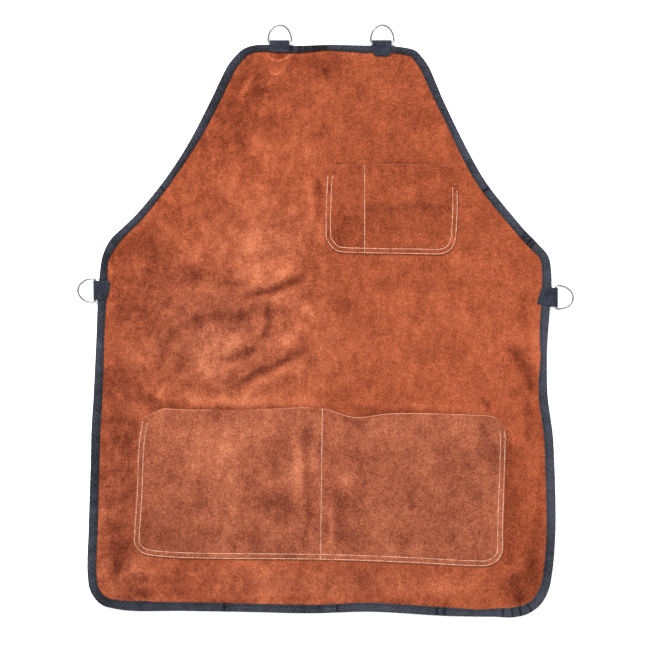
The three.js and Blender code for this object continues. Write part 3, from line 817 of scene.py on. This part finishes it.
class Graph:
    """A material's nodes, each added and linked in one call."""

    def __init__(self, name):
        self.material = bpy.data.materials.new(name)
        self.material.use_nodes = True
        self.tree = self.material.node_tree
        self.shader = self.tree.nodes["Principled BSDF"]

    def add(self, kind, sockets, **settings):
        node = self.tree.nodes.new("ShaderNode" + kind)
        for key, value in settings.items():
            setattr(node, key, value)
        self.feed(node, sockets)
        return node

    def feed(self, node, sockets):
        for key, value in sockets.items():
            if isinstance(value, bpy.types.NodeSocket):
                self.tree.links.new(value, node.inputs[key])
            else:
                node.inputs[key].default_value = value

    def place(self):
        return self.add("TexCoord", {}).outputs["Object"]

    def mark(self, name):
        """Values that the mesh carries at its points."""
        return self.add("Attribute", {}, attribute_name=name).outputs["Fac"]

    def noise(self, vector, scale, detail, roughness, distortion=0.0):
        sockets = dict(Vector=vector, Scale=scale, Detail=detail, Roughness=roughness, Distortion=distortion)
        return self.add("TexNoise", sockets).outputs["Fac"]

    def waves(self, vector, scale, distortion, direction):
        sockets = {"Vector": vector, "Scale": scale, "Distortion": distortion, "Detail": 1.0}
        return self.add("TexWave", sockets, bands_direction=direction).outputs["Fac"]

    def scaled(self, value, weight, rest):
        """rest + weight * value"""
        return self.add("Math", {0: value, 1: weight, 2: rest}, operation="MULTIPLY_ADD").outputs[0]

    def plus(self, value, weight, rest):
        """rest + weight * (value - 0.5)"""
        shifted = self.add("Math", {0: value, 1: 0.5}, operation="SUBTRACT").outputs[0]
        return self.scaled(shifted, weight, rest)

    def ramp(self, value, stops):
        node = self.add("ValToRGB", {"Fac": value})
        elements = node.color_ramp.elements
        while len(elements) < len(stops):
            elements.new(0.5)
        for element, (place, colour) in zip(elements, stops):
            element.position = place
            element.color = (*colour, 1.0)
        return node.outputs["Color"]

    def mixed(self, factor, first, second):
        """The first colour where the factor is 0, the second where it is 1."""
        colour_sockets = {0: factor, 6: first, 7: second}
        return self.add("Mix", colour_sockets, data_type="RGBA").outputs[2]

    def bump(self, height, strength, distance):
        sockets = {"Height": height, "Strength": strength, "Distance": distance}
        self.feed(self.shader, {"Normal": self.add("Bump", sockets).outputs["Normal"]})

    def finished(self, sockets):
        self.feed(self.shader, sockets)
        return self.material


def suede(name):
    """Napped leather: clouds of nap with painted highlight and painted shade, and wear, from the mesh, then
    clumps, streaks and fine fibres.
    """
    graph = Graph(name)
    place = graph.place()
    stretch = {"Vector": place, "Rotation": (0.0, 0.0, 1.1), "Scale": (1.0, 0.42, 1.0)}
    stretched = graph.add("Mapping", stretch).outputs[0]
    streaks = graph.noise(stretched, scale=75.0, detail=5.0, roughness=0.65, distortion=0.8)
    clumps = graph.noise(place, scale=170.0, detail=4.0, roughness=0.70, distortion=0.4)
    fibres = graph.noise(place, scale=430.0, detail=2.0, roughness=0.8, distortion=0.6)
    tone = graph.scaled(graph.mark("nap"), weight=0.34, rest=0.5)
    for layer, weight in ((streaks, 0.45), (clumps, 0.55), (fibres, 1.15)):
        tone = graph.plus(layer, weight, tone)
    graph.bump(graph.plus(fibres, 1.0, clumps), strength=0.6, distance=0.0010)
    fresh, worn = graph.ramp(tone, FRESH_STOPS), graph.ramp(tone, WORN_STOPS)
    colour = graph.mixed(graph.mark("wear"), fresh, worn)
    look = {"Base Color": colour, "Roughness": 0.95, "Specular IOR Level": 0.06}
    look.update({"Sheen Weight": 0.06, "Sheen Roughness": 0.45, "Sheen Tint": (1.0, 0.72, 0.55, 1.0)})
    return graph.finished(look)


def raw_edge(name):
    """The cut edge of the leather, paler and fibrous."""
    graph = Graph(name)
    fibres = graph.noise(graph.place(), scale=420.0, detail=4.0, roughness=0.7, distortion=0.5)
    graph.bump(fibres, strength=0.6, distance=0.0004)
    colour = graph.ramp(graph.plus(fibres, 0.8, graph.mark("pale")), RAW_EDGE_STOPS)
    return graph.finished({"Base Color": colour, "Roughness": 0.92, "Specular IOR Level": 0.15})


def woven(name, stops, rib_direction, rib_scale, twill_scale):
    """Ribbed tape: ribs and twill from its own coordinates, with lighter and darker places from the mesh,
    among them painted highlight and painted shade.
    """
    graph = Graph(name)
    along = graph.add("UVMap", {}, uv_map="tape").outputs["UV"]
    ribs = graph.waves(along, rib_scale, distortion=0.8, direction=rib_direction)
    twill = graph.waves(along, twill_scale, distortion=1.2, direction="DIAGONAL")
    lint = graph.noise(graph.place(), scale=330.0, detail=4.0, roughness=0.75)
    tone = graph.scaled(graph.mark("nap"), weight=0.32, rest=0.45)
    for layer, weight in ((lint, 1.5), (ribs, 0.32), (twill, 0.18)):
        tone = graph.plus(layer, weight, tone)
    graph.bump(graph.plus(ribs, 1.0, lint), strength=0.6, distance=0.0005)
    look = {"Base Color": graph.ramp(tone, stops), "Roughness": 0.85, "Specular IOR Level": 0.06}
    look.update({"Sheen Weight": 0.08, "Sheen Roughness": 0.4, "Sheen Tint": (0.72, 0.80, 1.0, 1.0)})
    return graph.finished(look)


def thread(name, stops):
    """Spun thread, uneven along its length and dusty in places."""
    graph = Graph(name)
    place = graph.place()
    twist = graph.noise(place, scale=900.0, detail=2.0, roughness=0.5)
    dust = graph.noise(place, scale=140.0, detail=4.0, roughness=0.7)
    graph.bump(twist, strength=0.5, distance=0.0002)
    colour = graph.ramp(graph.plus(dust, 1.6, twist), stops)
    return graph.finished({"Base Color": colour, "Roughness": 0.7, "Specular IOR Level": 0.25})


def nickel(name):
    """Bright plated wire with faint scuffs."""
    graph = Graph(name)
    scuffs = graph.noise(graph.place(), scale=900.0, detail=5.0, roughness=0.7, distortion=1.0)
    graph.bump(scuffs, strength=0.04, distance=0.0001)
    span = {"Value": scuffs, "To Min": 0.26, "To Max": 0.42}
    roughness = graph.add("MapRange", span).outputs["Result"]
    return graph.finished({"Base Color": (*NICKEL, 1.0), "Metallic": 1.0, "Roughness": roughness})


def floor_finish(name):
    graph = Graph(name)
    grain = graph.noise(graph.place(), scale=6.0, detail=3.0, roughness=0.5)
    dim = tuple(FLOOR_DIM * c for c in FLOOR)
    colour = graph.ramp(grain, [(0.3, dim), (0.7, FLOOR)])
    return graph.finished({"Base Color": colour, "Roughness": 0.9, "Specular IOR Level": 0.1})


# The leather's height: the frame's folds, smoothed, with loft, waves and the finer creases

panel_top, panel_covered = cad_top("body_panel")
panel_inner = fade(2.0 * smeared(panel_covered.astype(float), EDGE_SMOOTHING) - 1.0)
panel_waves = WAVE_RISE * value_noise(GRID_X, GRID_Y, WAVE_CELL, WAVE_SEED)
panel_waves = panel_waves + RIPPLE_RISE * value_noise(GRID_X, GRID_Y, RIPPLE_CELL, RIPPLE_SEED)
panel_rise = LOFT + panel_waves + crease_height(PANEL_CREASES, GRID_X, GRID_Y, PANEL_SEED)
ground = smoothed(panel_top, CAD_SMOOTHING, panel_covered) + panel_inner * panel_rise
ground = np.maximum(ground, LEATHER)
panel_rim = smooth_loop(plan_rim("body_panel"), TAPE_STATIONS)


def make_panel(material):
    us = np.linspace(0, 1, PANEL_COLUMNS + 1)
    height = np.ptp(panel_rim[:, 1])
    vs = graded(height, [height - PANEL_FINE_FROM_TOP], PANEL_FINE, PANEL_COARSE, PANEL_FINE_REACH)
    x, y = np.moveaxis(patch_grid(panel_rim, PANEL_LEANS, us, vs), -1, 0)
    top = read_field(ground, x, y)
    shape = closed_sheet(np.dstack([x, y, top]), np.dstack([x, y, top - LEATHER]))
    strength = MOTTLE_RIGHT + (MOTTLE_LEFT - MOTTLE_RIGHT) * fade(0.5 - x / MOTTLE_TURN)
    tone = strength * mottling(x, y, MOTTLE_SEED)
    tone = tone + nap_and_shading_tone(PANEL_CREASES, PANEL_PATCHES, x, y, PANEL_SEED)
    wear = sum(patch.tone * patch_strength(patch, x, y) for patch in PANEL_WEAR)
    marks = {"nap": [tone, tone], "wear": np.clip([wear, wear], 0, 1)}
    piece = add_piece("panel", shape, [material], marks=marks)
    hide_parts("body_panel")
    return piece


def seam_row(loop, row):
    """A line of stitches inside a pocket's outline, from its left side round the foot to its right."""
    middle = (loop[:, 0].min() + loop[:, 0].max()) / 2
    inner = loop - row.inset * outward_of(loop)
    left, right = inner[:, 0] < middle, inner[:, 0] >= middle
    start = np.argmin(np.where(left, np.abs(inner[:, 1] - row.left_y), FAR))
    end = np.argmin(np.where(right, np.abs(inner[:, 1] - row.right_y), FAR))
    return loop_side(inner, start, end)


def rim_mask(columns, rows):
    """True along the four sides of a grid."""
    mask = np.ones((columns, rows), bool)
    mask[1:-1, 1:-1] = False
    return mask


def make_pocket(node, look, leather, edge, cream):
    """A patch of leather that lies on the panel at its seams, gapes between them and has a cut mouth."""
    loop = smooth_loop(plan_rim(node), POCKET_STATIONS)
    low, high = loop.min(axis=0), loop.max(axis=0)
    divider = np.array(look.divider)
    seams = [seam_row(loop, row) for row in look.rows]
    seams.append(spaced(divider, np.linspace(0, 1, DIVIDER_STATIONS)))
    seam_points = np.concatenate(seams)
    tree = kdtree.KDTree(len(seam_points))
    for k, (x, y) in enumerate(seam_points):
        tree.insert((x, y, 0.0), k)
    tree.balance()

    top, covered = cad_top(node)
    stand = np.where(covered, top - panel_top, 0.0)
    gape = smoothed(stand - stand[covered].min(), CAD_SMOOTHING, covered)

    def heights(x, y):
        """Under and upper side of the pocket."""
        distance = np.array([tree.find((a, b, 0.0))[2] for a, b in zip(x.ravel(), y.ravel())])
        distance = distance.reshape(x.shape)
        free = fade(distance / SEAM_REACH)
        fine = crease_height(look.creases, x, y, look.seed)
        fine = fine + RIPPLE_RISE * value_noise(x, y, RIPPLE_CELL, look.seed + RIPPLE_SEED_STEP)
        under = read_field(ground, x, y) + SEAT + read_field(gape, x, y) * free
        return under, under + POCKET_LEATHER + fine * free - SEAM_DIP * bell(distance, SEAM_DIP_HALF)

    width, height = high - low
    steps = (POCKET_FINE, POCKET_COARSE, POCKET_FINE_REACH)
    us = graded(width, [0.0, divider[:, 0].mean() - low[0], width], *steps)
    vs = graded(height, [0.0, height], *steps)
    x, y = np.moveaxis(patch_grid(loop, POCKET_LEANS, us, vs), -1, 0)
    under, upper = heights(x, y)
    rim = rim_mask(len(us), len(vs))
    upper = np.where(rim, upper - EDGE_BEVEL, upper)
    shape = closed_sheet(np.dstack([x, y, upper]), np.dstack([x, y, under]))

    beside_rim = rim_mask(len(us) - 1, len(vs) - 1)
    on_left = x < (low[0] + high[0]) / 2
    free = (y > np.where(on_left, look.rows[0].left_y, look.rows[0].right_y))[:-1, :-1]
    walls = len(shape[1]) - 2 * free.size
    raw = np.concatenate([(beside_rim & free).ravel(), np.zeros(free.size), np.ones(walls)])
    tone = look.tone + POCKET_MOTTLE * mottling(x, y, look.seed)
    # the rim gets painted light that lifts the shade along the pocket's edges
    tone = tone + nap_and_shading_tone(look.creases, look.patches, x, y, look.seed) + SEWN_EDGE_PAINTED_LIGHT * rim
    pale = look.pale + EDGE_UNEVEN * value_noise(x, y, EDGE_UNEVEN_CELL, look.seed + EDGE_SEED_STEP)
    pale = pale + sum(mark.pale * bell(np.hypot(x - mark.x, y - mark.y), mark.half) for mark in look.edges)
    marks = {"nap": [tone, tone], "wear": np.full((2, *tone.shape), look.wear), "pale": [pale, pale]}
    name, materials = node.replace("_", "_patch_"), [leather, edge]
    piece = add_piece(name, shape, materials, face_materials=raw, marks=marks)
    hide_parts(node)

    lines = [np.column_stack([line, heights(line[:, 0], line[:, 1])[1]]) for line in seams]
    sewn = add_piece(node.replace("pocket", "stitches"), stitches(lines, THREAD_RADIUS), [cream])


def set_tape_coordinates(piece, along, across):
    """Coordinates in metres along and across a tape, for its ribs."""
    mesh = piece.data
    layer = mesh.uv_layers.new(name="tape")
    corners = np.empty(len(mesh.loops), np.int32)
    mesh.loops.foreach_get("vertex_index", corners)
    pairs = np.stack([along[corners], across[corners]], axis=1)
    layer.data.foreach_set("uv", pairs.astype(np.float32).ravel())


def make_binding(tape, dark):
    """Tape folded over the whole edge: a flat lap, a round fold and a flat lap behind."""
    rim, out = panel_rim, outward_of(panel_rim)
    every = np.ones((TAPE_STATIONS, 1))
    length = line_lengths(np.concatenate([rim, rim[:1]]))[-1]
    run = np.arange(TAPE_STATIONS)[:, None] * length / TAPE_STATIONS

    def near(row, half):
        """1 at the station nearest to a table row's point, fading along the rim."""
        nearest = np.argmin(np.hypot(rim[:, 0] - row.x, rim[:, 1] - row.y))
        return bell(run - run[nearest], half)

    slow = value_noise(rim[:, :1], rim[:, 1:], SLOW_CELL, SLOW_SEED)
    quick = value_noise(rim[:, :1], rim[:, 1:], QUICK_CELL, QUICK_SEED)
    lap = TAPE_LAP - TAPE_LAP_LESS * np.maximum(out[:, 1:], 0.0) ** 2 + TAPE_LAP_UNEVEN * slow
    lap = lap + sum(row.change * near(row, row.half) for row in TAPE_LAPS)
    pinch = np.max([near(row, PINCH_HALF) for row in PINCHES], axis=0)
    on_top = out[:, 1:] > TAPE_TOP
    from_ends = np.minimum(rim[:, :1] - TAPE_JOIN_START, TAPE_JOIN_END - rim[:, :1])
    join = TAPE_JOIN_RISE * fade(from_ends / TAPE_JOIN_RAMP) * on_top

    laps, backs = TAPE_LAP_SHARES, TAPE_BACK_SHARES
    turns = np.linspace(0.5 * math.pi, -0.5 * math.pi, TAPE_ARC_POINTS)
    share = np.concatenate([laps, 0 * turns, backs])
    facing_out = np.concatenate([0 * laps, np.cos(turns), 0 * backs])
    facing_up = np.concatenate([np.ones_like(laps), np.sin(turns), -np.ones_like(backs)])
    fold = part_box("body_panel")[0].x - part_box("edge_binding")[0].x - TAPE / 2
    offset = np.hstack([-lap * laps, every * fold * np.cos(turns), -every * TAPE_BACK_LAP * backs])
    under = rim[:, None] + np.minimum(offset, 0.0)[..., None] * out[:, None]
    height = read_field(ground, under[..., 0], under[..., 1]) - LEATHER / 2
    height = height + facing_up * (LEATHER / 2 + SEAT + TAPE / 2)
    on_front = facing_up > TAPE_FRONT
    pillow = on_front * np.sin(math.pi * np.clip(share / (1 - TAPE_STITCH_INSET / lap), 0, 1))
    lift = facing_up * (TAPE_BULGE * pillow * (1 + TAPE_BULGE_UNEVEN * slow) + join)
    lift = lift + TAPE_PUCKER * share * np.maximum(quick, TAPE_PUCKER_FLOOR) - PINCH_DEPTH * pinch * pillow
    middle = np.dstack([rim[:, None] + offset[..., None] * out[:, None], height + on_front * lift])
    normal = np.dstack([facing_out * out[:, :1], facing_out * out[:, 1:], every * facing_up])
    half = np.full((len(share), 1), TAPE / 2)
    half[[0, -1]] *= TAPE_EDGE
    sections = np.concatenate([middle + half * normal, (middle - half * normal)[:, ::-1]], axis=1)

    steps = np.linalg.norm(np.diff(middle, axis=1), axis=2)
    across = np.hstack([0 * every, np.cumsum(steps, axis=1)])
    across = np.hstack([across, across[:, ::-1]])
    # painted highlight along the fold, painted shade at the pinches and beside the seam
    crown = bell(np.arange(len(share)) - len(laps) + 1, CROWN_POINTS)
    tone = SLOW_TONE * slow + QUICK_TONE * quick + CROWN_HIGHLIGHT * np.concatenate([crown, 0 * crown])
    tone = tone + sum(row.change * near(row, row.half) for row in TAPE_TONES) + PINCH_SHADE * pinch
    tone = tone + SEAM_SHADE_TONE * bell(across - TAPE_STITCH_INSET, SEAM_SHADE_HALF)
    shape = closed_tube(sections, True)
    piece = add_piece("binding", shape, [tape], marks={"nap": tone})
    set_tape_coordinates(piece, np.repeat(run, 2 * len(share)), across.ravel())
    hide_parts("edge_binding")

    line = np.column_stack([rim - (lap - TAPE_STITCH_INSET) * out, sections[:, TAPE_SEAM_POINT, 2]])
    lines = [np.concatenate([line, line[:1]])]
    for x in (TAPE_JOIN_START, TAPE_JOIN_END):
        station = int(np.argmin(np.where(on_top, np.abs(rim[:, :1] - x), FAR)))
        lines += [sections[station + step, 1:len(laps) + 2] for step in (-1, 1)]
    sewn = add_piece("binding_stitches", stitches(lines, DARK_THREAD_RADIUS), [dark])


def bar_axes(name):
    """A ring's bar, and the directions outward and sideways from it."""
    joint = next(j for j in frame["joints"] if j["child"] == "ring_" + name)
    bar = np.array(joint["pos_m"])
    low, high = (np.array(corner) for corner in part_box("d_ring_" + name))
    out = np.round(unit(((low + high) / 2 - bar)[:2]))
    return bar, out, np.array([-out[1], out[0]])


def seen_from_bar(node, bar, out, side):
    """A node's corners, as distances outward, sideways and up from a bar."""
    local = cad_triangles(node)[0] - bar
    return np.column_stack([local[:, :2] @ out, local[:, :2] @ side, local[:, 2]])


def make_tab(name, webbing, dark):
    """Webbing strip from the front face, round the ring's bar and on to the back face."""
    bar, out, side = bar_axes(name)
    local = seen_from_bar("strap_tab_" + name, bar, out, side)
    sewn_end = TAB_ENDS[name]
    half_width = local[:, 1].max()
    front, back = local[local[:, 2] > 0], local[local[:, 2] < 0]
    front_left = front[front[:, 1] < 0][:, 0].min()
    front_right = front[front[:, 1] > 0][:, 0].min()
    back_end = back[:, 0].min()
    leg = np.full(TAB_LEG_POINTS, local[:, 2].max() - WEBBING / 2)
    loop = local[:, 0].max() - WEBBING / 2
    neck = -TAB_NECK * loop

    shares = np.linspace(-1.0, 1.0, TAB_COLUMNS + 1)
    shares = np.sign(shares) * (1 - (1 - np.abs(shares)) ** TAB_CROWDING)
    turns = np.linspace(0.5 * math.pi, -0.5 * math.pi, TAB_TURN_POINTS)
    columns = []
    for share in shares:
        end = front_left + (front_right - front_left) * (share + 1) / 2
        rounded = sewn_end.rounding * abs(share) ** TAB_ROUND_POWER
        end += rounded - sewn_end.bow * (1 - share**2) - sewn_end.reach
        path = np.concatenate([
            np.column_stack([np.linspace(end, neck, TAB_LEG_POINTS), leg]),
            np.column_stack([loop * np.cos(turns), loop * np.sin(turns)]),
            np.column_stack([np.linspace(neck, back_end, TAB_LEG_POINTS), -leg]),
        ])
        ends = np.concatenate([path[:1], path, path[-1:]])
        curve = smooth_line(ends[:-3], ends[1:-2], ends[2:-1], ends[3:])
        columns.append(np.concatenate([curve, path[-1:]]))
    length = line_lengths(columns[TAB_COLUMNS // 2])[-1]
    fractions = np.linspace(0.0, 1.0, int(length / TAB_STEP))
    paths = np.stack([spaced(column, fractions) for column in columns], axis=1)

    along = unit(np.gradient(paths, axis=0))
    face = np.stack([-along[..., 1], along[..., 0]], axis=-1)
    run = (fractions * length)[:, None]
    rib = np.cos(2 * math.pi * run / TAB_RIB_PITCH)
    rounding = np.where(np.abs(shares) > TAB_SIDE, TAB_SIDE_THICKNESS, 1.0)
    at_end = np.minimum(fractions, 1 - fractions)[:, None] < TAB_ENDING
    ending = np.where(at_end, TAB_ENDING_THICKNESS, 1.0)
    half = (WEBBING / 2 - TAB_RIB + TAB_RIB * rib * ending) * ending * rounding
    on_front = fade((neck - paths[..., 0]) / (neck - front_left)) * (paths[..., 1] > 0)
    wide = half_width * shares * (1 + TAB_RIB_WIDTH * rib) + sewn_end.taper * on_front * (1 - shares) / 2

    def placed(flat):
        plan = bar[:2] + flat[..., :1] * out + wide[..., None] * side
        return np.concatenate([plan, bar[2] + flat[..., 1:]], axis=-1)

    upper, lower = placed(paths + half[..., None] * face), placed(paths - half[..., None] * face)
    clouds = value_noise(upper[..., 0], upper[..., 1], TAB_CLOUD_CELL, TAB_CLOUD_SEED)
    tone = TAB_CLOUD_TONE * clouds + TAB_RIB_TONE * rib
    # painted highlight along the sewn end
    tone = tone + sewn_end.fringe * bell(run - END_HIGHLIGHT_INSET, END_HIGHLIGHT_HALF)
    shape = closed_sheet(upper, lower)
    piece = add_piece("tab_" + name, shape, [webbing], marks={"nap": [tone, tone]})
    set_tape_coordinates(piece, np.tile(np.repeat(run, len(shares)), 2), np.tile(wide.ravel(), 2))
    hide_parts("strap_tab_" + name)
    rows = [int(np.argmin(np.abs(run - seam))) for seam in TAB_SEAMS]
    lines = [upper[row, TAB_SEAM_MARGIN:-TAB_SEAM_MARGIN] for row in rows]
    sewn = add_piece("tab_stitches_" + name, stitches(lines, DARK_THREAD_RADIUS), [dark])


def make_ring(name, metal):
    """Wire bent to a D: a bar in the tab's loop, small corners and an elliptic bow on the ground."""
    bar, out, side = bar_axes(name)
    local = seen_from_bar("d_ring_" + name, bar, out, side)
    level_reach, half_width = local[:, :2].max(axis=0) - WIRE / 2
    drop = bar[2] - WIRE / 2
    reach = math.hypot(level_reach, drop)
    forward = np.array([*(out * level_reach), -drop]) / reach
    sideways = np.array([*side, 0.0])
    straight = half_width - RING_CORNER

    bar_run = np.linspace(RING_BUTT, straight, RING_BAR_POINTS)[:-1]
    corner = np.linspace(0.0, 0.5 * math.pi, RING_CORNER_POINTS)[:-1]
    bow = np.linspace(0.5 * math.pi, -0.5 * math.pi, RING_BOW_POINTS)
    half_path = np.concatenate([
        np.column_stack([0 * bar_run, bar_run]),
        np.column_stack([RING_CORNER * (1 - np.cos(corner)), straight + RING_CORNER * np.sin(corner)]),
    ])
    arch = np.column_stack([RING_CORNER + (reach - RING_CORNER) * np.cos(bow), half_width * np.sin(bow)])
    path = np.concatenate([half_path, arch, half_path[::-1] * [1.0, -1.0]])
    flat = spaced(path, np.linspace(0.0, 1.0, RING_STEPS))
    centre = bar + flat[:, :1] * forward + flat[:, 1:] * sideways
    normal = np.cross(sideways, forward)
    across = unit(np.cross(unit(np.gradient(centre, axis=0)), normal))
    sections = centre[:, None] + WIRE / 2 * circles(across, normal[None], RING_SIDES)
    shape = closed_tube(sections, False)
    piece = add_piece("ring_" + name, shape, [metal], body="ring_" + name)
    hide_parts("d_ring_" + name)


# The object

leather = suede("suede")
cut_edge = raw_edge("raw_edge")
tape_cloth = woven("tape_cloth", TAPE_STOPS, rib_direction="Y", rib_scale=140.0, twill_scale=90.0)
tab_cloth = woven("tab_cloth", WEBBING_STOPS, rib_direction="X", rib_scale=92.0, twill_scale=110.0)
cream_thread = thread("cream_thread", CREAM_STOPS)
dark_thread = thread("dark_thread", DARK_THREAD_STOPS)
ring_metal = nickel("nickel")

panel = make_panel(leather)
for node, look in POCKETS.items():
    make_pocket(node, look, leather, cut_edge, cream_thread)
make_binding(tape_cloth, dark_thread)
for name in TAB_ENDS:
    make_tab(name, tab_cloth, dark_thread)
    make_ring(name, ring_metal)


# Floor, lights and camera

FLOOR_HALF, FLOOR_DROP = 6.0, 0.0002
floor_signs = [(-1, -1), (1, -1), (1, 1), (-1, 1)]
floor_corners = [(FLOOR_HALF * x, FLOOR_HALF * y, -FLOOR_DROP) for x, y in floor_signs]
floor_mesh = bpy.data.meshes.new("floor")
floor_mesh.from_pydata(floor_corners, [], [(0, 1, 2, 3)])
floor_mesh.materials.append(floor_finish("pale_floor"))
floor = linked("floor", floor_mesh)

Lamp = namedtuple("Lamp", "name place size power")  # each is turned towards the origin
LAMPS = [
    Lamp("key", (-1.6, 5.0, 4.4), 2.6, 1030.0),
    Lamp("overhead", (0.3, -1.0, 3.4), 2.4, 105.0),
]
for lamp in LAMPS:
    light = bpy.data.lights.new(lamp.name, "AREA")
    light.size = lamp.size
    light.energy = lamp.power
    holder = linked(lamp.name, light)
    holder.location = lamp.place
    holder.rotation_euler = (-Vector(lamp.place)).to_track_quat("-Z", "Y").to_euler()

WORLD_STRENGTH = 0.50
world = bpy.data.worlds.new("studio")
world.use_nodes = True
background = world.node_tree.nodes["Background"]
background.inputs["Color"].default_value = (1.0, 1.0, 1.0, 1.0)
background.inputs["Strength"].default_value = WORLD_STRENGTH
bpy.context.scene.world = world
bpy.context.scene.view_settings.view_transform = "Standard"

camera = bpy.data.cameras.new("camera")
camera.lens = camera.sensor_width * CAMERA_HEIGHT / VIEW_WIDTH
viewer = linked("camera", camera)
viewer.location = (VIEW_X, VIEW_Y, CAMERA_HEIGHT)
bpy.context.scene.camera = viewer
